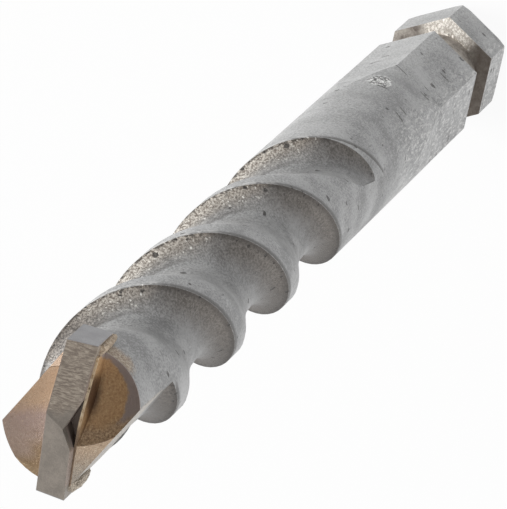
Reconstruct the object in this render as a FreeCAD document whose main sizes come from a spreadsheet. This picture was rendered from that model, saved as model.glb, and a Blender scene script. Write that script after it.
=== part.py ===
"""Masonry drill bit with a carbide plate, two right-hand flutes and a hexagon shank.

Millimetres. The bit stands on its hexagon end: the origin is the centre of that end face,
+Z runs along the axis to the tip, and the carbide plate lies along X.
"""

import FreeCAD, Part
import math
import os
import Sketcher

os.makedirs("parts", exist_ok=True)

document = FreeCAD.newDocument("masonry_drill_bit")
sheet = document.addObject("Spreadsheet::Sheet", "sizes")

driving_sizes = [
    ("overall_length", 125.0),
    ("hex_across_flats", 9.5),
    ("flat_depth", 0.75),
    ("end_chamfer", 0.4),
    ("hex_full_length", 25.3),
    ("hex_runout_length", 11.0),
    ("collar_length", 5.7),
    ("groove_width", 5.7),
    ("groove_depth", 1.75),
    ("flute_lead", 33.1),
    ("flute_edge_below_tip", 5.6),
    ("flute_depth", 1.85),
    ("flute_wall_width", 5.5),
    ("flute_wall_hollow", 0.2),
    ("flute_wall_hollow_height", 0.4),
    ("flute_slope_width", 9.4),
    ("flute_slope_softness", 0.36),
    ("flute_clearance", 0.12),
    ("flute_runout", 6.5),
    ("flute_runout_margin", 0.185),
    ("plain_length", 16.5),
    ("plate_overhang", 0.85),
    ("plate_height", 6.0),
    ("plate_thickness", 2.4),
    ("plate_point_angle", 147.0),
    ("plate_relief_angle", 10.0),
    ("notch_depth", 2.4),
    ("notch_across", 0.88),
    ("notch_along", 4.1),
    ("notch_middle", 0.15),
    ("notch_apex", -0.2),
    ("braze_film", 0.15),
    ("steel_below_tip", 0.7),
    ("roof_fall_along", 0.3),
    ("roof_fall_across", 0.66),
    ("flank_depth", 1.9),
    ("flank_tilt", 1.0),
    ("flank_direction", 62.0),
    ("flank_length", 9.5),
    ("front_gullet_radius", 7.0),
    ("front_gullet_depth", 3.63),
    ("front_gullet_along", 0.4),
    ("front_gullet_across", 2.4),
    ("back_gullet_radius", 5.0),
    ("back_gullet_depth", 4.6),
    ("back_gullet_along", 3.0),
    ("back_gullet_across", 2.0),
]
following_sizes = [
    ("body_diameter", "=hex_across_flats + 2 * flat_depth"),
    ("groove_diameter", "=body_diameter - 2 * groove_depth"),
    ("flute_edge_height", "=overall_length - flute_edge_below_tip"),
    ("flute_start_height", "=hex_full_length + hex_runout_length + plain_length"),
    ("plate_width", "=body_diameter + 2 * plate_overhang"),
    ("flank_offset", "=body_diameter / 2 - flank_depth"),
]
for row, (alias, value) in enumerate(driving_sizes + following_sizes, start=1):
    sheet.set(f"A{row}", alias)
    sheet.set(f"B{row}", str(value))
    sheet.setAlias(f"B{row}", alias)
document.recompute()


def size(alias):
    """The value of one cell of the sheet."""
    return float(sheet.get(alias))


def vector(x, y, z):
    return FreeCAD.Vector(x, y, z)


def origin_plane(body, role):
    """The origin plane of a body, such as XZ_Plane."""
    return next(item for item in body.Origin.OriginFeatures if item.Role == role)


def new_sketch(body, name, role):
    """An empty sketch on one of the body's own origin planes."""
    sketch = body.newObject("Sketcher::SketchObject", name)
    sketch.AttachmentSupport = [(origin_plane(body, role), "")]
    sketch.MapMode = "FlatFace"
    return sketch


def arc_through(start, end, radius):
    """A short arc between two points, bulging to the left of the way from start to end."""
    half = (end - start) * 0.5
    side = vector(half.y, -half.x, 0).normalize()
    centre = start + half + side * math.sqrt(radius ** 2 - half.Length ** 2)
    first = math.atan2(start.y - centre.y, start.x - centre.x)
    last = math.atan2(end.y - centre.y, end.x - centre.x)
    return Part.ArcOfCircle(Part.Circle(centre, vector(0, 0, 1), radius), last, first)


def draw_outline(sketch, corners, arcs=None):
    """A closed outline whose corners are pairs of formulas; arcs maps an edge to a radius formula."""
    arcs = arcs or {}
    points = [vector(*(float(sketch.evalExpression(f"({formula}) * 1")) for formula in pair), 0)
              for pair in corners]
    count = len(points)
    ends = {}
    for index in range(count):
        start, end = points[index], points[(index + 1) % count]
        if index in arcs:
            radius = float(sketch.evalExpression(arcs[index]))
            sketch.addGeometry(arc_through(start, end, radius), False)
            ends[index] = (2, 1)
        else:
            sketch.addGeometry(Part.LineSegment(start, end), False)
            ends[index] = (1, 2)
    for index in range(count):
        following = (index + 1) % count
        sketch.addConstraint(Sketcher.Constraint(
            "Coincident", index, ends[index][1], following, ends[following][0]))
    for index, pair in enumerate(corners):
        for kind, formula, value in zip(("DistanceX", "DistanceY"), pair, points[index]):
            number = sketch.addConstraint(Sketcher.Constraint(
                kind, -1, 1, index, ends[index][0], value))
            sketch.setExpression(f"Constraints[{number}]", formula)
    for index, formula in arcs.items():
        number = sketch.addConstraint(Sketcher.Constraint(
            "Radius", index, float(sketch.evalExpression(formula))))
        sketch.setExpression(f"Constraints[{number}]", formula)


def make_bar():
    """The turned and milled bar: chamfered hexagon end, groove, hexagon shank and round body."""
    bar = document.addObject("PartDesign::Body", "bar")
    profile = new_sketch(bar, "bar_profile", "XZ_Plane")
    draw_outline(profile, [
        ("0", "0"),
        ("sizes.body_diameter / 2 - sizes.end_chamfer", "0"),
        ("sizes.body_diameter / 2", "sizes.end_chamfer"),
        ("sizes.body_diameter / 2",
         "sizes.overall_length - sizes.steel_below_tip - sizes.roof_fall_along * sizes.body_diameter / 2"),
        ("0", "sizes.overall_length - sizes.steel_below_tip"),
    ])
    turned = bar.newObject("PartDesign::Revolution", "turned_bar")
    turned.Profile = profile
    turned.ReferenceAxis = (profile, ["V_Axis"])
    turned.Angle = 360
    profile.Visibility = False

    neck = new_sketch(bar, "neck_profile", "XZ_Plane")
    draw_outline(neck, [
        ("sizes.groove_diameter / 2", "sizes.collar_length"),
        ("sizes.body_diameter", "sizes.collar_length"),
        ("sizes.body_diameter", "sizes.collar_length + sizes.groove_width"),
        ("sizes.groove_diameter / 2", "sizes.collar_length + sizes.groove_width"),
    ])
    groove = bar.newObject("PartDesign::Groove", "retaining_groove")
    groove.Profile = neck
    groove.ReferenceAxis = (neck, ["V_Axis"])
    groove.Angle = 360

    flat = new_sketch(bar, "flat_profile", "YZ_Plane")
    depth = "(sizes.body_diameter - sizes.hex_across_flats) / 2"
    draw_outline(flat, [
        ("sizes.hex_across_flats / 2", "-sizes.end_chamfer"),
        ("sizes.body_diameter", "-sizes.end_chamfer"),
        ("sizes.body_diameter", "sizes.hex_full_length + sizes.hex_runout_length"),
        ("sizes.body_diameter / 2", "sizes.hex_full_length + sizes.hex_runout_length"),
        ("sizes.hex_across_flats / 2", "sizes.hex_full_length"),
    ], {3: f"(sizes.hex_runout_length ^ 2 + ({depth}) ^ 2) / (2 * {depth})"})
    milled = bar.newObject("PartDesign::Pocket", "milled_flat")
    milled.Profile = flat
    milled.Midplane = True
    milled.setExpression("Length", "sizes.body_diameter * 2")
    hexagon = bar.newObject("PartDesign::PolarPattern", "six_flats")
    hexagon.Originals = [milled]
    hexagon.Axis = (flat, ["V_Axis"])
    hexagon.Angle = 360
    hexagon.Occurrences = 6
    bar.Tip = hexagon
    return bar


def flute_profile():
    """Section of one flute in the XZ plane: a crisp edge, a steep wall, a floor and a soft slope."""
    radius = size("body_diameter") / 2
    depth = size("flute_depth")
    floor = radius - depth
    wall = size("flute_wall_width")
    slope = size("flute_slope_width")
    clear = size("flute_clearance")
    crisp = vector(radius, 0, 0)
    hollow = vector(floor + depth * size("flute_wall_hollow"), 0, wall * size("flute_wall_hollow_height"))
    lowest = vector(floor, 0, wall)
    centre = Part.Circle(crisp, hollow, lowest).Center
    spoke = crisp - centre
    along = (hollow - crisp) - spoke * ((hollow - crisp).dot(spoke) / spoke.Length ** 2)
    bend = clear / spoke.Length
    lower = centre + spoke * math.cos(bend) - along.normalize() * spoke.Length * math.sin(bend)
    upper = vector(radius + clear, 0, wall + slope)
    handle = slope * size("flute_slope_softness")
    soft_slope = Part.BezierCurve()
    soft_slope.setPoles([lowest, vector(floor, 0, wall + handle), vector(radius, 0, wall + slope - handle), upper])
    outside = radius + depth * 2
    outer_upper, outer_lower = vector(outside, 0, upper.z), vector(outside, 0, lower.z)
    edges = [
        Part.Arc(lower, hollow, lowest).toShape(),
        soft_slope.toShape(),
        Part.LineSegment(upper, outer_upper).toShape(),
        Part.LineSegment(outer_upper, outer_lower).toShape(),
        Part.LineSegment(outer_lower, lower).toShape(),
    ]
    return Part.Wire(edges)


def sweep_flute(spine, profile):
    """The flute section carried along a helix as a solid."""
    sweep = Part.BRepOffsetAPI.MakePipeShell(spine)
    sweep.setFrenetMode(True)
    sweep.add(profile)
    sweep.build()
    sweep.makeSolid()
    return sweep.shape()


def place_on_helix(tool, height):
    """Moves a cutter made at the X axis along the helix of the crisp edge to a height."""
    turn = (height - size("flute_edge_height")) / size("flute_lead") * 360
    tool.rotate(vector(0, 0, 0), vector(0, 0, 1), turn)
    tool.translate(vector(0, 0, height))
    return tool


def turned_flute(length, start_height):
    """One flute cutter over a length of the bar, placed on the helix of the crisp edge."""
    lead = size("flute_lead")
    tool = sweep_flute(Part.makeHelix(lead, length, size("body_diameter") / 2), flute_profile())
    return place_on_helix(tool, start_height)


def runout_flute():
    """The lower end of a flute, where the cutter climbs out of the bar."""
    runout = size("flute_runout")
    rise = size("flute_depth") + size("flute_runout_margin")
    slant = math.hypot(runout, rise)
    spine = Part.makeHelix(size("flute_lead") * slant / runout, slant, size("body_diameter") / 2,
                           math.degrees(math.atan2(rise, runout)))
    upside_down = flute_profile()
    upside_down.rotate(vector(0, 0, 0), vector(1, 0, 0), 180)
    tool = sweep_flute(spine, upside_down)
    tool.rotate(vector(0, 0, 0), vector(1, 0, 0), 180)
    return place_on_helix(tool, size("flute_start_height"))


def flank_side():
    """The space outside the ground flank beside the plate, which leans out downwards."""
    reach = size("overall_length")
    tool = Part.makeBox(reach, reach, reach * 2, vector(0, -reach / 2, -reach))
    tool.rotate(vector(0, 0, 0), vector(0, 1, 0), -size("flank_tilt"))
    tool.translate(vector(size("flank_offset"), 0, size("overall_length")))
    tool.rotate(vector(0, 0, 0), vector(0, 0, 1), size("flank_direction"))
    return tool


def boolean(kind, name, base, tool):
    """A cut or a common of two objects of the document."""
    result = document.addObject(kind, name)
    result.Base = base
    result.Tool = tool
    return result


def half_turn(shape):
    """The same shape on the other side of the axis."""
    copy = shape.copy()
    copy.rotate(vector(0, 0, 0), vector(0, 0, 1), 180)
    return copy


def flank_height():
    """Where the crisp edge of a flute crosses the middle of the ground flank."""
    turns_to_flank = (size("flank_direction") - 180) / 360
    return size("flute_edge_height") + turns_to_flank * size("flute_lead")


def main_flute():
    """The full-depth length of one flute."""
    start = size("flute_start_height")
    return turned_flute(flank_height() - start, start)


def flute_opening():
    """The upper end of a flute, which opens only into the ground flank of the point."""
    return turned_flute(size("flute_lead") / 4, flank_height()).common(half_turn(flank_side()))


def space_above(height, along, across, back):
    """The space above a plane that falls towards +X and +Y, from y = back on."""
    reach = size("body_diameter") * 2
    plan = [(-reach, back), (reach, back), (reach, reach), (-reach, reach)]
    corners = [vector(x, y, height - along * x - across * y) for x, y in plan]
    face = Part.Face(Part.makePolygon(corners + corners[:1]))
    return face.extrude(vector(0, 0, reach * 3))


def roof_tool():
    """Removes the steel above the sloping end on the +Y side of the plate."""
    along, across = size("roof_fall_along"), size("roof_fall_across")
    height = size("overall_length") - size("steel_below_tip") + across * size("plate_thickness") / 2
    return space_above(height, along, across, 0)


def relief_tool():
    """Removes the carbide above the ground relief of the +X half of the plate."""
    along = 1 / math.tan(math.radians(size("plate_point_angle") / 2))
    across = -math.tan(math.radians(size("plate_relief_angle")))
    return space_above(size("overall_length"), along, across, -size("body_diameter") * 2)


def flank_tool():
    """The ground flank that runs from the end of the plate to the ridge."""
    reach = size("body_diameter")
    length = size("flank_length")
    end = Part.makeBox(reach * 4, reach * 4, length * 2,
                       vector(-reach * 2, -reach * 2, size("overall_length") - length))
    return flank_side().common(end)


def gullet_tool(name):
    """The gullet scooped beside the plate with a round-nosed wheel, on the -X, +Y side."""
    radius = size(f"{name}_gullet_radius")
    side = size("plate_thickness") / 2 + size("braze_film")
    centre = vector(-size(f"{name}_gullet_along"), size(f"{name}_gullet_across"),
                    size("overall_length") - size(f"{name}_gullet_depth") + radius)
    beside = Part.makeBox(radius * 4, radius * 4, radius * 4, vector(-radius * 2, side, centre.z - radius * 2))
    return Part.makeSphere(radius, centre).common(beside)


def notch_tool():
    """The V notch ground into the -Y edge of the plate beside the point."""
    middle, half = size("notch_middle"), size("notch_along") / 2
    edge = -size("plate_thickness") / 2
    outside = edge - size("plate_thickness")
    lowest = size("overall_length") - size("notch_depth")
    plan = [(middle - half, outside), (middle + half, outside), (middle + half, edge),
            (size("notch_apex"), edge + size("notch_across")), (middle - half, edge)]
    corners = [vector(x, y, lowest) for x, y in plan]
    face = Part.Face(Part.makePolygon(corners + corners[:1]))
    return face.extrude(vector(0, 0, size("notch_depth") * 2))


def cut_away(base, name, tool):
    """An object less a cutter."""
    cutter = document.addObject("Part::Feature", f"{name}_cutter")
    cutter.Shape = tool
    return boolean("Part::Cut", name, base, cutter)


def cut_both_sides(base, name, tool):
    """An object less a cutter and less the same cutter on the other side of the axis."""
    return cut_away(cut_away(base, f"front_{name}", tool), f"back_{name}", half_turn(tool))


def ground_off(steel):
    """The bar less both flutes and what is ground off the point."""
    steel = cut_both_sides(steel, "roof", roof_tool())
    steel = cut_both_sides(steel, "flank", flank_tool())
    steel = cut_away(steel, "front_gullet", gullet_tool("front"))
    steel = cut_away(steel, "back_gullet", half_turn(gullet_tool("back")))
    steel = cut_both_sides(steel, "opening", flute_opening())
    steel = cut_both_sides(steel, "flute", main_flute())
    return cut_both_sides(steel, "runout", runout_flute())


def make_plate():
    """The flat carbide blank, whose two halves are ground to the point with a relief."""
    plate = document.addObject("PartDesign::Body", "plate")
    outline = new_sketch(plate, "plate_outline", "XZ_Plane")
    bottom = "sizes.overall_length - sizes.plate_height"
    draw_outline(outline, [
        ("-sizes.plate_width / 2", bottom),
        ("sizes.plate_width / 2", bottom),
        ("sizes.plate_width / 2", "sizes.overall_length"),
        ("-sizes.plate_width / 2", "sizes.overall_length"),
    ])
    pad = plate.newObject("PartDesign::Pad", "plate_pad")
    pad.Profile = outline
    pad.Midplane = True
    pad.setExpression("Length", "sizes.plate_thickness")
    plate.Tip = pad
    return cut_both_sides(plate, "relief", relief_tool())


def make_slot():
    """The sawn slot that takes the plate and its film of filler metal."""
    slot = document.addObject("Part::Box", "slot")
    slot.setExpression("Length", "sizes.body_diameter * 2")
    slot.setExpression("Width", "sizes.plate_thickness + 2 * sizes.braze_film")
    slot.setExpression("Height", "sizes.plate_height + sizes.braze_film")
    slot.setExpression("Placement.Base.x", "-sizes.body_diameter")
    slot.setExpression("Placement.Base.y", "-sizes.plate_thickness / 2 - sizes.braze_film")
    slot.setExpression("Placement.Base.z", "sizes.overall_length - sizes.plate_height - sizes.braze_film")
    return slot


bar = make_bar()
document.recompute()
pointed = ground_off(bar)
slot = make_slot()
ground_plate = make_plate()
carbide_plate = cut_away(ground_plate, "notch", notch_tool())
steel_body = boolean("Part::Cut", "steel", pointed, slot)
filled_slot = boolean("Part::Common", "filled_slot", pointed, slot)
braze_joint = boolean("Part::Cut", "filler", filled_slot, ground_plate)
document.recompute()

nodes = {
    "steel_body": steel_body,
    "carbide_plate": carbide_plate,
    "braze_joint": braze_joint,
}
for name, node in nodes.items():
    node.Label = name
    node.Placement = FreeCAD.Placement()
document.recompute()

for item in document.Objects:
    if "Invalid" in item.State or "Error" in item.State:
        raise RuntimeError(f"{item.Name} did not compute: {item.State}")
for name, node in nodes.items():
    shape = node.Shape
    if shape.isNull() or not shape.isValid():
        raise RuntimeError(f"{name} has no valid shape")
    box = shape.BoundBox
    print(f"{name}: {len(shape.Solids)} solid, {shape.Volume:.1f} mm3, "
          f"{box.XLength:.2f} x {box.YLength:.2f} x {box.ZLength:.2f}")
for name, node in nodes.items():
    node.Shape.exportStep(f"parts/{name}.step")
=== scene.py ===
import math
import bmesh
import bpy
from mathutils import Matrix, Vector, noise


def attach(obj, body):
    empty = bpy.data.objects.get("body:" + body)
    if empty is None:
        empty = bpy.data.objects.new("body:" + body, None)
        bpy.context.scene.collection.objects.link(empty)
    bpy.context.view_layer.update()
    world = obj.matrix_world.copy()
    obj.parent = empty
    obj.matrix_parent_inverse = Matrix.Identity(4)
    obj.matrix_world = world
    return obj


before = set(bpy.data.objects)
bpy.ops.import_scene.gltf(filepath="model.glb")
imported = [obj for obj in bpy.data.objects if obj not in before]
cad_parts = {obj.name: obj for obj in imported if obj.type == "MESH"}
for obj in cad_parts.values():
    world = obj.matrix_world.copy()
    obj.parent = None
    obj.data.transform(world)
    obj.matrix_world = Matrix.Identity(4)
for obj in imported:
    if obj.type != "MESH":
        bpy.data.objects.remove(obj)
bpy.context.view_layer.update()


class Wire:
    # a socket that can be added, subtracted, multiplied and divided like a number
    def __init__(self, tree, socket=None):
        self.tree = tree
        self.socket = socket

    def make(self, kind, settings=None, inputs=None, output=0):
        node = self.tree.nodes.new(kind)
        for name, value in (settings or {}).items():
            if name == "stops":
                ramp = node.color_ramp
                while len(ramp.elements) < len(value):
                    ramp.elements.new(0.5)
                for element, (place, colour) in zip(ramp.elements, value):
                    element.position = place
                    element.color = colour
            else:
                setattr(node, name, value)
        for name, value in (inputs or {}).items():
            if isinstance(value, Wire):
                self.tree.links.new(value.socket, node.inputs[name])
            else:
                node.inputs[name].default_value = value
        return Wire(self.tree, node.outputs[output])

    def maths(self, operation, *others):
        return self.make("ShaderNodeMath", {"operation": operation}, dict(enumerate((self, *others))))

    def backwards(self, operation, first):
        # the same node with the other value first
        return self.make("ShaderNodeMath", {"operation": operation}, {0: first, 1: self})

    def __add__(self, other): return self.maths("ADD", other)
    def __radd__(self, other): return self.maths("ADD", other)
    def __sub__(self, other): return self.maths("SUBTRACT", other)
    def __rsub__(self, other): return self.backwards("SUBTRACT", other)
    def __mul__(self, other): return self.maths("MULTIPLY", other)
    def __rmul__(self, other): return self.maths("MULTIPLY", other)
    def __truediv__(self, other): return self.maths("DIVIDE", other)
    def __rtruediv__(self, other): return self.backwards("DIVIDE", other)

    def squareRoot(self): return self.maths("SQRT")
    def absolute(self): return self.maths("ABSOLUTE")
    def floor(self): return self.maths("FLOOR")
    def most(self, other): return self.maths("MAXIMUM", other)

    def fade(self, low, high, start=0.0, end=1.0):
        # start to end as the value goes from low to high, soft at both ends
        return self.make("ShaderNodeMapRange", {"interpolation_type": "SMOOTHSTEP"},
                         {0: self, 1: low, 2: high, 3: start, 4: end})

    def between(self, rise, fall):
        # 1 in a band that comes in over the first two values and leaves over the other two
        return self.fade(*rise) * self.fade(*fall)

    def tint(self, low, high, colours):
        # colours spread evenly from low to high
        stops = [(index / (len(colours) - 1), colour) for index, colour in enumerate(colours)]
        share = self.make("ShaderNodeMapRange", {}, {0: self, 1: low, 2: high})
        return share.make("ShaderNodeValToRGB", {"stops": stops}, {0: share})

    def blend(self, first, second):
        # this mask goes from the first colour to the second
        return self.make("ShaderNodeMix", {"data_type": "RGBA"}, {0: self, 6: first, 7: second}, output=2)

    def stretch(self, amounts):
        return self.make("ShaderNodeVectorMath", {"operation": "MULTIPLY"}, {0: self, 1: amounts})

    def noise(self, scale, detail=2.0, roughness=0.5):
        return self.make("ShaderNodeTexNoise", {}, {"Vector": self, "Scale": scale, "Detail": detail,
                                                    "Roughness": roughness})

    def ruffle(self, scale, amount):
        # moves a place about by some mm, so that round spots turn ragged
        stir = self.make("ShaderNodeTexNoise", {}, {"Vector": self, "Scale": scale, "Detail": 2.0}, output=1)
        moved = self.make("ShaderNodeVectorMath", {"operation": "SCALE"}, {0: stir, "Scale": 2 * amount})
        return self.make("ShaderNodeVectorMath", {"operation": "ADD"}, {0: self, 1: moved})

    def spots(self, scale, radius, share, soft=0.04):
        # scattered spots up to a radius in mm, in the given share of cells of 1 / scale mm
        cells = self.make("ShaderNodeTexVoronoi", {"feature": "F1"}, {"Vector": self, "Scale": scale})
        draw = self.make("ShaderNodeSeparateColor", {}, {0: Wire(self.tree, cells.socket.node.outputs[1])})
        size = draw.fade(0.0, share, radius, -soft * 2)
        return (cells / scale - size).fade(soft, -soft)


def paint(red, green, blue):
    # a colour as read off a picture, 0 to 255, made linear
    return (*[((v / 255 + 0.055) / 1.055) ** 2.4 for v in (red, green, blue)], 1)


def newMaterial(name):
    # a material, its shader, the place on the object in mm, and the x, y and z of that place
    material = bpy.data.materials.new(name)
    material.use_nodes = True
    tree = material.node_tree
    shader = tree.nodes["Principled BSDF"]
    metres = Wire(tree).make("ShaderNodeTexCoord", output="Object")
    place = metres.make("ShaderNodeVectorMath", {"operation": "SCALE"}, {0: metres, "Scale": 1000.0})
    split = place.make("ShaderNodeSeparateXYZ", {}, {0: place})
    return material, shader, place, [Wire(tree, split.socket.node.outputs[index]) for index in range(3)]


def connect(shader, **values):
    for name, value in values.items():
        socket = shader.inputs[name.replace("_", " ")]
        if isinstance(value, Wire):
            shader.id_data.links.new(value.socket, socket)
        else:
            socket.default_value = value


def bumped(height, distance, strength):
    return height.make("ShaderNodeBump", {}, {"Height": height, "Distance": distance, "Strength": strength})


def reach(*sides):
    # how far away a place is, from its distances along directions square to each other
    total = sides[0] * sides[0]
    for side in sides[1:]:
        total = total + side * side
    return total.squareRoot()


# the ground point, in mm: places and stains that steel and filler share
point = {
    "tip": 125.0,
    "start": (117.0, 117.4),                     # height over which its colours come in
    "acrossWay": (0.203, -0.953, -0.302),        # two directions square to the way it is mostly looked at
    "upWay": (0.938, 0.287, -0.282),
    "roofHeight": 125.092,                       # of the sloping end over the axis
    "roofAlong": 0.3,
    "roofAcross": 0.66,
    "frontGullet": (-0.4, 2.4, 128.37, 7.0),     # centre and radius of the wheel
    "backGullet": (3.0, -2.0, 125.4, 5.0),
    "facet": {
        "bands": (paint(140, 117, 88), paint(140, 117, 88), paint(170, 150, 138),       # from straw to orange
                  paint(172, 151, 142), paint(190, 163, 137), paint(190, 163, 137)),
        "border": paint(170, 150, 138),
        "burnAndShade": paint(112, 86, 62),
        "fleck": paint(222, 205, 178),
        "pit": paint(120, 98, 78),
        # painted shade for the small roof
        "smallRoofShade": paint(112, 90, 70),
    },
    "pocket": {
        "centre": (2.2, 2.4),
        # centre of the painted shade beside the plate
        "shadeCentre": (2.65, 2.3),
        "bronze": (paint(164, 129, 92), paint(194, 161, 120)),
        "fleck": paint(206, 184, 148),
        # painted shade beside the plate
        "burnAndShade": paint(70, 46, 28),
        "border": paint(148, 136, 131),
        # painted light, paler where the pocket lies in its own shade
        "low": (paint(128, 104, 80), paint(196, 170, 138)),
    },
    "wedge": {
        "tan": paint(156, 134, 111),
        "dust": paint(134, 125, 114),
        "pit": paint(104, 84, 64),
        "fleck": paint(182, 166, 144),
    },
}


def crossPoint(x, y, z):
    # how far across and up a place looks from the tip, mm
    high = z - point["tip"]
    return [x * way[0] + y * way[1] + high * way[2] for way in (point["acrossWay"], point["upWay"])]


def facetColour(place, across, up):
    # the front gullet and roof: orange, a mauve band, then straw beside the plate
    look = point["facet"]
    wander = place.noise(0.7, 3.0, 0.6)
    grain = place.noise(4.2, 4.0, 0.75)
    colour = (up + wander * 1.4 - 0.7).tint(-3.2, 3.2, look["bands"])
    border = (across + up * 0.45 + wander).fade(-1.8, -3.0) * up.fade(1.4, 0.2) * up.fade(-3.0, -1.8)
    colour = (border * 0.8).blend(colour, look["border"])
    burnAndShade = place.ruffle(2.0, 0.5).spots(0.55, 0.55, 0.5, 0.2) * up.fade(0.0, -1.2)
    colour = (burnAndShade * 0.75).blend(colour, look["burnAndShade"])
    colour = (grain.fade(0.58, 0.7) * 0.45).blend(colour, look["fleck"])
    return (grain.fade(0.42, 0.32) * 0.45).blend(colour, look["pit"])


def pocketColour(place, across, up):
    # the back gullet: bronze, with painted shade beside the plate and a plum outer border
    look = point["pocket"]
    wander = place.noise(0.8, 3.0, 0.6)
    grain = place.noise(5.0, 4.0, 0.75)
    rim = reach(across - look["centre"][0], up - look["centre"][1]) + wander * 0.9
    high = up - look["shadeCentre"][1]
    burnAndShade = (reach(across - look["shadeCentre"][0] - high * 0.18, high * 0.42) + wander * 0.9).fade(1.35, 0.7)
    colour = grain.fade(0.34, 0.66).blend(*look["bronze"])
    colour = (grain.fade(0.6, 0.7) * 0.5).blend(colour, look["fleck"])
    colour = (burnAndShade * 0.95).blend(colour, look["burnAndShade"])
    colour = (rim.fade(3.45, 3.75) * up.fade(-0.3, 0.4)).blend(colour, look["border"])
    low = (up + wander * 1.6 - across * 0.25).fade(0.5, -0.7)          # painted light: paler where it lies in its own shade
    return low.blend(colour, grain.fade(0.36, 0.64).blend(*look["low"]))


def wedgeColour(place, up):
    # the steel wedge beyond the pocket: tan, dusty towards the end of the plate
    look = point["wedge"]
    grain = place.noise(3.4, 4.0, 0.75)
    colour = (up + grain * 1.5).fade(-0.6, -3.4).blend(look["tan"], look["dust"])
    colour = (grain.fade(0.55, 0.68) * 0.7).blend(colour, look["pit"])
    return (grain.fade(0.44, 0.34) * 0.7).blend(colour, look["fleck"])


steel = {
    "lead": 33.1,                      # mm a flute climbs in one turn
    "edgeHeight": 119.4,               # mm, height of the crisp edge at azimuth 0
    "bodyRadius": 5.5,
    "wallWidth": 5.5,                  # mm from the crisp edge to the floor of the flute
    "flutesFrom": (46.0, 47.5),        # mm up the bit, as every pair from here to marksTo
    "rimsFrom": (46.0, 48.0),          # the rim is the land's edge right under the next crisp edge
    "rimsTo": (112.5, 111.5),
    "highlightTo": (110.0, 106.0),        # the painted highlight on the walls on the left
    # painted shade on the walls near the tip
    "shadeNearTipFrom": (106.0, 109.5),
    # how far up the painted sheen on the shank reaches
    "shankSheenTo": (46.0, 36.0),
    "ticksTo": (44.0, 38.0),
    "marksTo": (119.6, 118.6),
    "creasePlace": 2.95,               # mm above the crisp edge, where a crease is painted as shade
    "glints": (3.2, 0.11, 0.7, 0.03),  # spots: how many in a mm, radius in mm, share, softness in mm
    "pits": (0.8, 0.3, 0.6, 0.05),
    "ticks": (1.0, 0.24, 0.6, 0.05),
    "nicks": (2.2, 0.15, 0.9, 0.03),
    "plain": (paint(122, 122, 122), paint(172, 172, 172)),
    # a paler copy of the steel, painted light on the side the left lamp lights
    "paintedLight": (paint(168, 168, 167), paint(220, 220, 219)),
    "wall": (paint(64, 58, 52), paint(100, 94, 88)),
    # painted shade, light and glints on the walls and rims, in the next eight colours
    "wallShade": paint(84, 83, 82),
    "wallLit": (paint(130, 121, 111), paint(206, 196, 184)),
    "wallGlint": paint(240, 238, 232),
    "wallShadeNearTip": (paint(70, 64, 58), paint(148, 139, 130)),
    "creaseShade": paint(82, 77, 73),
    "edgeShade": paint(60, 56, 53),
    "edgeHighlight": (paint(142, 130, 119), paint(255, 249, 238)),
    "rimShade": paint(84, 82, 80),
    "pit": paint(62, 60, 58),
    # painted highlight and sheen on the rims and the shank
    "sheen": paint(216, 215, 213),
    "scarHeight": 31.7,
    "scarSize": (1.7, 1.3),            # mm, over which it fades in, as the other two sizes
    "scar": (paint(84, 83, 82), paint(240, 240, 238)),
    "collarFace": ((5.5, 5.64), (5.9, 5.78)),
    "groove": ((5.55, 5.7), (11.6, 11.3)),
    "rust": (paint(112, 104, 98), paint(178, 172, 164)),
    "darkRust": paint(84, 75, 68),
    "bareCentre": (4.4, -0.3),         # of the bright patch on the collar's face
    "bareSize": (3.9, 2.6),
    "bare": (paint(196, 188, 178), paint(255, 251, 244)),
    "flankTurn": math.radians(62),     # way that the ground flank faces
    "flankPlace": 3.6,                 # mm from the axis
    "flankLean": 0.0175,               # mm nearer to the axis for each mm up
    "flankFrom": (115.4, 115.8),
    "flank": (paint(140, 134, 126), paint(186, 180, 172)),
    "overrunCentre": (5.0, -2.3, 120.3),     # of the filler that ran over the rim
    "overrunSize": (1.95, 1.0),
    "overrun": (paint(134, 112, 92), paint(196, 182, 162)),
    "metal": 0.7,
    "stainedMetal": 0.35,
    "roughness": (0.38, 0.56),
    "bump": (0.00008, 0.9),            # depth in metres, strength
}


class BarPlace:
    # where a place on the bar lies, and the noises that its colours share
    def __init__(self, place, x, y, z):
        self.place, self.x, self.y, self.z = place, x, y, z
        self.radius = reach(x, y)
        self.azimuth = y.maths("ARCTAN2", x)
        pitch = steel["lead"] / 2
        turn = (z - steel["edgeHeight"]) / pitch - self.azimuth / math.pi
        self.aboveEdge = (turn - turn.floor()) * pitch                  # mm above the crisp edge below
        self.belowSurface = steel["bodyRadius"] - self.radius
        self.fluted = z.fade(*steel["flutesFrom"]) * self.belowSurface.fade(0.0, 0.05)
        self.leftward = y + x * 0.4 - x.fade(1.0, -2.0) * 6.0           # grows towards the side the left lamp lights, where light is painted
        self.leftSide = self.leftward.fade(0.5, 3.5)
        self.wander = place.noise(0.9, 3.0, 0.6)
        self.grain = place.noise(5.0, 4.0, 0.75)


def blastedColour(at):
    cloud = at.place.noise(0.25, 3.0, 0.55)
    colour = (cloud * 0.35 + at.grain * 0.65).fade(0.4, 0.6).blend(*steel["plain"])
    # painted light: paler towards the side the left lamp lights
    paintedLight = at.grain.fade(0.4, 0.6).blend(*steel["paintedLight"])
    return at.leftward.fade(-0.6, 2.8, 0.0, 0.36).blend(colour, paintedLight)


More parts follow.
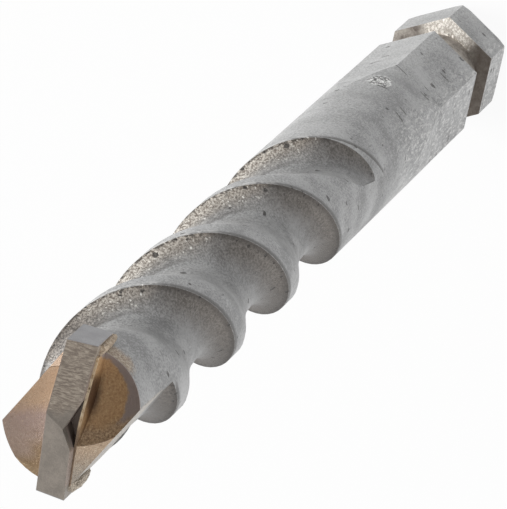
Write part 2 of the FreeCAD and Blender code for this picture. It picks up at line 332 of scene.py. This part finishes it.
def fluteColour(at, colour):
    # walls of the flutes: brown under the crisp edge and paler towards the floor, with painted shade in the
    # flutes that is less on the side the left lamp lights
    depth = at.aboveEdge + at.wander * 1.6 - 0.8 + at.leftward.fade(-0.5, 2.5, 0.0, 1.5)
    onWall = depth.fade(steel["wallWidth"] - 0.8, 0.6) * at.fluted
    shaded = depth.fade(8.0, 2.5) * at.fluted
    colour = (shaded * at.leftward.fade(-2.5, 1.0, 0.45, 0.0)).blend(colour, steel["wallShade"])
    colour = (onWall * 0.85).blend(colour, at.grain.fade(0.36, 0.66).blend(*steel["wall"]))
    # painted shade right under each crisp edge and on the rim under the next one
    underRim = at.aboveEdge.fade(15.8, 16.4) * at.z.between(steel["flutesFrom"], steel["rimsTo"])
    underEdge = (at.aboveEdge.fade(0.6, 0.1) * at.fluted).most(underRim)
    colour = (underEdge * 0.6).blend(colour, steel["edgeShade"])

    # a strip of the walls is painted lit, with painted glints beside the crisp edge
    litStrip = (at.x * 0.87 + at.y * 0.5 - at.radius * 0.8).fade(0.0, 0.9)
    paintedLight = at.grain.fade(0.4, 0.62).blend(*steel["wallLit"])
    colour = (onWall * litStrip * 0.75).blend(colour, paintedLight)
    besideEdge = at.aboveEdge.fade(2.6, 1.2).most(at.aboveEdge.fade(15.9, 16.2))
    glints = at.place.ruffle(4.0, 0.2).spots(*steel["glints"]) * besideEdge * litStrip
    colour = (glints * at.z.fade(*steel["flutesFrom"])).blend(colour, steel["wallGlint"])

    # on the left the wall has a painted highlight right above the edge, painted shade near the tip, painted
    # shade along a crease and a toothed line of painted shade at the edge
    bright = (at.leftward.fade(2.4, 5.0) * at.fluted * at.aboveEdge.fade(1.9, 0.4)
              * at.z.fade(*steel["highlightTo"]))
    colour = (bright * 0.6).blend(colour, at.grain.fade(0.4, 0.6).blend(*steel["edgeHighlight"]))
    shadeNearTip = (at.leftward.fade(2.6, 4.0) * at.fluted * at.z.fade(*steel["shadeNearTipFrom"])
            * at.aboveEdge.fade(4.0, 2.0))
    colour = (shadeNearTip * 0.62).blend(colour, at.grain.fade(0.4, 0.6).blend(*steel["wallShadeNearTip"]))
    # painted shade along a crease in the wall, then a toothed line of painted shade at the edge
    offCrease = (at.aboveEdge + at.wander * 0.8 - steel["creasePlace"]).absolute()
    creaseShade = at.leftSide * at.fluted * offCrease.fade(0.55, 0.1)
    colour = (creaseShade * 0.4).blend(colour, steel["creaseShade"])
    toothed = at.place.ruffle(2.0, 0.2).noise(2.6, 2.0, 0.6).fade(0.46, 0.54) * at.leftSide * at.fluted
    return (toothed * at.aboveEdge.fade(0.34, 0.1) * 0.75).blend(colour, steel["edgeShade"])


def darkMarks(at):
    # pits all over, short ticks round the shank and nicks in the crisp edges
    pits = at.place.ruffle(2.2, 0.18).spots(*steel["pits"]) * at.wander.fade(0.42, 0.5)
    around = at.place.make("ShaderNodeCombineXYZ", {}, {0: at.azimuth * 1.6, 1: at.z * 1.3, 2: 0.0})
    ticks = (around.ruffle(0.9, 0.2).spots(*steel["ticks"]) * at.z.fade(*steel["ticksTo"])
             * at.radius.fade(4.4, 4.7))
    rims = at.aboveEdge.fade(16.0, 16.2) * at.z.between(steel["flutesFrom"], steel["rimsTo"])
    nearEdge = (at.aboveEdge.fade(0.5, 0.3) * at.fluted).most(rims)
    nicks = at.place.ruffle(3.0, 0.12).spots(*steel["nicks"]) * nearEdge
    return pits.most(ticks).most(nicks) * at.z.fade(*steel["marksTo"])


def rimAndShankLight(at, colour):
    # painted shade on the rims on the right, a painted highlight on the rims on the left, and streaks of
    # painted sheen on the shank, mostly on its right
    rims = at.z.between(steel["rimsFrom"], steel["rimsTo"])
    colour = (at.aboveEdge.fade(15.6, 16.1) * rims * (1 - at.leftSide) * 0.6).blend(colour, steel["rimShade"])
    rimHighlight = (at.leftSide * at.aboveEdge.fade(15.5, 15.8) * rims
              * at.belowSurface.fade(0.1, 0.03) * at.wander.fade(0.4, 0.6))
    streaks = at.place.stretch((1.0, 1.0, 0.3)).noise(3.4, 4.0, 0.75).fade(0.5, 0.6)
    shankSheen = streaks * at.z.fade(*steel["shankSheenTo"]) * (at.y * -1.0).fade(2.8, 4.8, 0.12, 1.0)
    return (rimHighlight.most(shankSheen) * 0.55).blend(colour, steel["sheen"])


def shankScar(at):
    # a rough shiny scar that stands longer than it is wide
    high = at.z - steel["scarHeight"]
    away = (at.y * at.y + high * high * 0.45).squareRoot() + at.wander * 0.8
    return away.fade(*steel["scarSize"]) * at.x.fade(4.9, 5.1)


def collarColour(at, colour):
    # groove and the face of the collar: brown rust and a bare bright patch
    face = at.z.between(*steel["collarFace"])
    groove = at.z.between(*steel["groove"]) * at.radius.fade(4.6, 4.2)
    rust = (at.wander * 0.6 + at.grain * 0.4).fade(0.35, 0.65).blend(*steel["rust"])
    colour = groove.most(face).blend(colour, rust)
    darker = (at.y.fade(-1.8, -3.6) * 0.7).blend(rust, steel["darkRust"])
    colour = face.blend(colour, darker)
    away = reach(at.x - steel["bareCentre"][0], at.y - steel["bareCentre"][1])
    bare = (away + at.wander * 1.6).fade(*steel["bareSize"]) * face
    return bare.blend(colour, at.grain.fade(0.42, 0.6).blend(*steel["bare"]))


def onRoof(at):
    slope = at.y.absolute() * point["roofAcross"] + at.z - point["roofHeight"]
    side = at.y.fade(-0.01, 0.01, -1.0, 1.0)
    return (slope + at.x * point["roofAlong"] * side).absolute().fade(0.09, 0.05)


def inGullet(at, wheel):
    away = reach(at.x - wheel[0], at.y - wheel[1], at.z - wheel[2])
    return (away - wheel[3]).absolute().fade(0.12, 0.07)


def onFlank(at):
    facing = (at.x * math.cos(steel["flankTurn"]) + at.y * math.sin(steel["flankTurn"])).absolute()
    off = facing + (at.z - point["tip"]) * steel["flankLean"] - steel["flankPlace"]
    return off.absolute().fade(0.09, 0.05) * at.z.fade(*steel["flankFrom"])


def onOverrun(at):
    # filler that ran over the rim
    a, b, c = [here - there for here, there in zip((at.x, at.y, at.z), steel["overrunCentre"])]
    away = (a * a + b * b * 0.8 + c * c).squareRoot() + at.wander * 1.6 - 0.8
    return away.fade(*steel["overrunSize"]) * at.y.fade(-1.2, -1.35)


def steelMaterial():
    material, shader, place, (x, y, z) = newMaterial("blastedSteel")
    at = BarPlace(place, x, y, z)
    marks, scar = darkMarks(at), shankScar(at)
    colour = fluteColour(at, blastedColour(at))
    colour = (marks * 0.85).blend(colour, steel["pit"])
    colour = rimAndShankLight(at, colour)
    colour = scar.blend(colour, place.noise(3.2, 4.0, 0.8).fade(0.44, 0.56).blend(*steel["scar"]))
    colour = collarColour(at, colour)

    # the ground point: left half, pocket and wedge, then the flank and the filler beside them
    across, up = crossPoint(x, y, z)
    roof, front, back = onRoof(at), inGullet(at, point["frontGullet"]), inGullet(at, point["backGullet"])
    high = z.fade(*point["start"])
    left = y.fade(1.1, 1.2) * front.most(roof).most(up.fade(-2.1, -2.5)) * high
    pocket = y.fade(-1.1, -1.2) * back * high
    wedge = y.fade(-1.1, -1.2) * roof * high
    colour = left.blend(colour, facetColour(place, across, up))
    # painted shade darkens the small roof of the left half
    colour = (left * roof * x.fade(0.5, 2.0) * 0.85).blend(colour, point["facet"]["smallRoofShade"])
    colour = pocket.blend(colour, pocketColour(place, across, up))
    colour = wedge.blend(colour, wedgeColour(place, up))
    flank = onFlank(at) * (1 - roof) * (1 - front) * (1 - back)
    colour = (flank * 0.8).blend(colour, at.grain.fade(0.38, 0.62).blend(*steel["flank"]))
    overrun = onOverrun(at) * high * (1 - pocket) * (1 - wedge)
    colour = (overrun * 0.85).blend(colour, at.grain.fade(0.4, 0.62).blend(*steel["overrun"]))

    dents = marks * 1.3 * (1 - left) * (1 - pocket) * (1 - wedge)
    height = at.grain * 0.9 + scar * at.grain * 2.0 - dents + overrun * at.grain * 2.0
    stained = left.most(pocket).most(wedge)
    connect(shader, Base_Color=colour, Metallic=stained.fade(0.0, 1.0, steel["metal"], steel["stainedMetal"]),
            Roughness=at.grain.fade(0.25, 0.75, *steel["roughness"]), Normal=bumped(height, *steel["bump"]))
    return material


carbide = {
    "roughFrom": (0.7, 1.5),           # mm along the plate, where its ground half ends
    "smooth": (paint(116, 109, 101), paint(134, 126, 117)),
    "rough": (paint(126, 114, 103), paint(180, 168, 153)),
    "sideFrom": (1.12, 1.18),          # mm from the middle of the plate, across and along it
    "sideTo": (5.2, 5.0),
    "side": paint(142, 128, 120),
    "endFrom": (6.28, 6.33),
    "end": paint(148, 147, 149),
    "notchBelow": (124.3, 124.0),      # mm up the bit
    "notchWidth": (2.4, 2.2),
    "metal": 0.4,
    "roughness": (0.34, 0.5),
    "bump": (0.00007, 0.8),
}


def carbideMaterial():
    material, shader, place, (x, y, z) = newMaterial("groundCarbide")
    cloud = place.noise(0.9, 3.0, 0.55)
    grain = place.noise(7.0, 3.0, 0.7)
    scratch = place.ruffle(0.8, 0.1).stretch((1.0, 0.2, 0.6)).noise(7.5, 4.0, 0.75)
    roughHalf = (x + y * 0.3 + cloud - 0.5).fade(*carbide["roughFrom"])
    colour = (cloud * 0.5 + grain * 0.5).fade(0.35, 0.65).blend(*carbide["smooth"])
    colour = (roughHalf * 0.9).blend(colour, scratch.fade(0.4, 0.66).blend(*carbide["rough"]))
    side = y.absolute().fade(*carbide["sideFrom"]) * x.absolute().fade(*carbide["sideTo"])
    colour = (side * 0.9).blend(colour, carbide["side"])
    colour = x.absolute().fade(*carbide["endFrom"]).blend(colour, carbide["end"])
    notchWall = y.fade(-0.2, -0.4) * z.fade(*carbide["notchBelow"]) * x.absolute().fade(*carbide["notchWidth"])
    colour = (notchWall * 0.8).blend(colour, carbide["side"])
    height = scratch * roughHalf.fade(0.0, 1.0, 0.15, 1.0) + place.noise(6.0, 2.0) * 0.2
    connect(shader, Base_Color=colour, Metallic=carbide["metal"],
            Roughness=cloud.fade(0.3, 0.7, *carbide["roughness"]), Normal=bumped(height, *carbide["bump"]))
    return material


braze = {
    "rimHeight": (123.85, 124.1),      # mm, over the axis
    # painted shade for the filler in the gap beside the plate
    "burnAndShade": paint(70, 46, 28),
    "cream": paint(206, 188, 160),
    "crust": paint(104, 86, 70),
    "metal": 0.4,
    "roughness": 0.5,
    "bump": (0.0001, 0.7),
}


def brazeMaterial():
    material, shader, place, (x, y, z) = newMaterial("heatedFiller")
    across, up = crossPoint(x, y, z)
    grain = place.noise(2.6, 4.0, 0.7)
    colour = pocketColour(place, across, up)
    # painted shade darkens the filler in the gap beside the plate, none at its upper end
    colour = up.fade(4.6, 3.4, 0.0, 0.45).blend(colour, braze["burnAndShade"])
    rim = (z + reach(x, y) * 0.3).fade(*braze["rimHeight"])
    colour = (grain.fade(0.3, 0.55) * rim * up.fade(-0.6, 0.6) * 0.9).blend(colour, braze["cream"])
    colour = (rim * up.fade(0.2, -0.8) * 0.8).blend(colour, braze["crust"])
    connect(shader, Base_Color=colour, Metallic=braze["metal"], Roughness=braze["roughness"],
            Normal=bumped(grain, *braze["bump"]))
    return material


finishes = {
    "steel_body": steelMaterial(),
    "carbide_plate": carbideMaterial(),
    "braze_joint": brazeMaterial(),
}
for name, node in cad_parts.items():
    node.data.materials.clear()
    node.data.materials.append(finishes[name])
print("materials ready")


frontBead = {
    "centre": (-5.4, -1.2, 120.6),                           # mm
    "radii": (0.64, 0.62, 2.8),
    "cuts": (((-5.2, -1.2, 122.65), (-0.3, -0.66, 1.0)),     # where and which way: off at the ground end,
             ((0, 0, 118.0), (0, 0, -1)),                    # below
             ((0, -1.1, 0), (0, 1, 0))),                     # and just inside the side of the plate
    "colours": (paint(126, 115, 102), paint(188, 177, 161)),
}
sideBead = {
    "centre": (5.7, -1.2, 120.5),
    "radii": (0.5, 0.32, 2.75),
    "cuts": (((5.6, -1.2, 122.1), (0.25, -0.5, 1.0)),
             ((0, 0, 118.0), (0, 0, -1)),
             ((0, -1.1, 0), (0, 1, 0))),
    "colours": (paint(136, 116, 95), paint(198, 182, 160)),
}
beadFinish = {
    "lumps": ((0.16, 3.0), (0.08, 8.0)),       # how far they swell, and how fine they are
    "dents": (1.4, 0.28, 0.6, 0.08),
    "dent": paint(84, 70, 56),
    "metal": 0.35,
    "roughness": 0.55,
    "bump": (0.00015, 0.9),
}


def beadMaterial(name, colours):
    material, shader, place = newMaterial(name)[:3]
    grain = place.noise(5.0, 4.0, 0.75)
    dents = place.ruffle(2.0, 0.3).spots(*beadFinish["dents"])
    colour = (dents * 0.35).blend(grain.fade(0.36, 0.64).blend(*colours), beadFinish["dent"])
    connect(shader, Base_Color=colour, Metallic=beadFinish["metal"], Roughness=beadFinish["roughness"],
            Normal=bumped(grain - dents * 0.6, *beadFinish["bump"]))
    return material


def addBead(name, look):
    # a ragged bead of filler smeared along the plate
    shape = bmesh.new()
    bmesh.ops.create_icosphere(shape, subdivisions=5, radius=1.0)
    for vertex in shape.verts:
        swell = 1.0
        for size, fineness in beadFinish["lumps"]:
            swell += size * noise.noise(vertex.co * fineness)
        vertex.co *= swell
    bmesh.ops.scale(shape, vec=look["radii"], verts=shape.verts)
    bmesh.ops.translate(shape, vec=look["centre"], verts=shape.verts)
    for place, way in look["cuts"]:
        cut = bmesh.ops.bisect_plane(shape, geom=shape.verts[:] + shape.edges[:] + shape.faces[:],
                                     plane_co=place, plane_no=way, clear_outer=True)
        rim = [part for part in cut["geom_cut"] if isinstance(part, bmesh.types.BMEdge)]
        bmesh.ops.holes_fill(shape, edges=rim)
    bmesh.ops.recalc_face_normals(shape, faces=shape.faces)
    bmesh.ops.scale(shape, vec=(0.001, 0.001, 0.001), verts=shape.verts)       # from mm to metres
    mesh = bpy.data.meshes.new(name)
    for face in shape.faces:
        face.smooth = len(face.verts) < 5                                      # the cut faces stay flat
    print(name, len(shape.faces), "faces, open edges", sum(not edge.is_manifold for edge in shape.edges))
    shape.to_mesh(mesh)
    shape.free()
    mesh.materials.append(beadMaterial(name + "Finish", look["colours"]))
    bead = bpy.data.objects.new(name, mesh)
    bpy.context.scene.collection.objects.link(bead)
    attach(bead, "root")


addBead("frontBead", frontBead)
addBead("sideBead", sideBead)


studio = {
    "cameraPlace": (0.16726779, -0.10615075, 0.57365714),
    "cameraTurn": (-15.123819, 15.493014, -77.549629),       # degrees
    "lens": 455.866,
    "sky": 0.45,
    "floorGrey": 0.82,
    "floorSize": 60,
    "floorWhite": (60.0, 260.0, 0.92, 1.0),                  # mm near to and far from the bit, and how white
    "lampAim": (0, 0, 0.08),
    "lamps": {"leftLamp": ((-0.05, 1.05, 0.3), 0.6, 20),     # place, width and watts
              "rightLamp": ((-0.6, -0.95, 0.2), 0.6, 8.5)},
}


def addCamera():
    data = bpy.data.cameras.new("camera")
    data.lens = studio["lens"]
    data.clip_start = 0.05
    data.clip_end = 100
    camera = bpy.data.objects.new("camera", data)
    camera.location = studio["cameraPlace"]
    camera.rotation_euler = [math.radians(v) for v in studio["cameraTurn"]]
    bpy.context.scene.collection.objects.link(camera)
    bpy.context.scene.camera = camera


def addLamp(name, place, width, watts):
    data = bpy.data.lights.new(name, "AREA")
    data.shape = "SQUARE"
    data.size = width
    data.energy = watts
    lamp = bpy.data.objects.new(name, data)
    lamp.location = place
    lamp.rotation_euler = (Vector(studio["lampAim"]) - Vector(place)).to_track_quat("-Z", "Y").to_euler()
    bpy.context.scene.collection.objects.link(lamp)


def seenDirectly(tree):
    # 1 for what the camera, a reflection or glass looks at, 0 for the light that falls on things
    path = Wire(tree).make("ShaderNodeLightPath").socket.node
    camera, glossy, through = [Wire(tree, path.outputs[name]) for name in
                               ("Is Camera Ray", "Is Glossy Ray", "Is Transmission Ray")]
    return camera.most(glossy).most(through)


def addWorld():
    world = bpy.data.worlds.new("world")
    world.use_nodes = True
    tree = world.node_tree
    back = tree.nodes["Background"]
    back.inputs["Color"].default_value = (1, 1, 1, 1)
    tree.links.new(seenDirectly(tree).fade(0.0, 1.0, studio["sky"], 1.0).socket, back.inputs["Strength"])
    bpy.context.scene.world = world


def addFloor():
    bpy.ops.mesh.primitive_plane_add(size=studio["floorSize"])
    floor = bpy.context.object
    floor.name = "floor"
    material, shader, place, (x, y, z) = newMaterial("paleFloor")
    level = studio["floorGrey"]
    connect(shader, Base_Color=(level, level, level, 1), Roughness=0.9)
    tree = material.node_tree
    whiteness = reach(x, y).fade(*studio["floorWhite"])
    white = place.make("ShaderNodeEmission", {}, {"Strength": 1.0})
    mixed = place.make("ShaderNodeMixShader", {}, {0: seenDirectly(tree) * whiteness,
                                                   1: Wire(tree, shader.outputs[0]), 2: white})
    tree.links.new(mixed.socket, tree.nodes["Material Output"].inputs["Surface"])
    floor.data.materials.append(material)


addCamera()
addWorld()
addFloor()
for name, settings in studio["lamps"].items():
    addLamp(name, *settings)
bpy.context.scene.view_settings.view_transform = "Standard"
print("studio ready")
